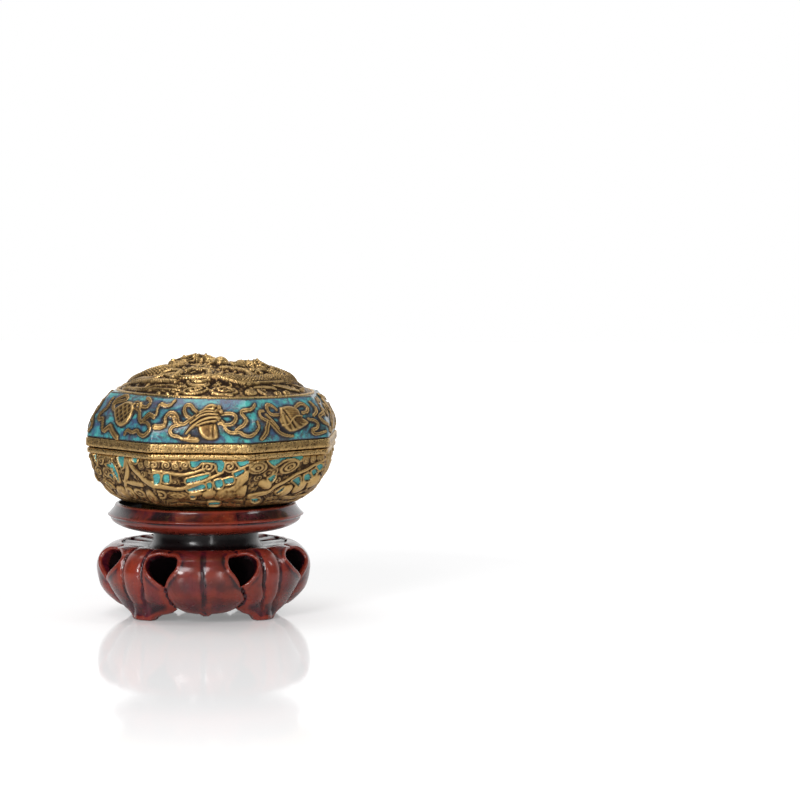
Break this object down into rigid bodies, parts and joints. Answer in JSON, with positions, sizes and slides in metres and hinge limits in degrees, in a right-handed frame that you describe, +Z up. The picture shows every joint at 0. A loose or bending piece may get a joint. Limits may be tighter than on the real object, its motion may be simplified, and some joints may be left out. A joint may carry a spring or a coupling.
{
  "type": "seal paste box",
  "caption": "Eight-sided lidded metal box with carved dome, enamelled band and carved sides, on a pierced wooden stand.",
  "frame": {"origin": "centre of the bounding box at the level of the feet, under the middle of the box", "axes": "+Z up, -Y towards the middle of the front face, +X to the right"},
  "size_m": [0.0834, 0.0834, 0.0889],
  "materials": {
    "lid_gilt": "aged gilding on cast bronze with mottled turquoise and blue enamel between the carving",
    "base_gilt": "aged gilding on cast bronze with turquoise enamel in the hollows",
    "stand_wood": "polished dark red hardwood, near black in the hollows"
  },
  "bodies": {
    "root": {"lid": "lid_gilt", "box_base": "base_gilt", "stand": "stand_wood"}
  },
  "joints": []
}
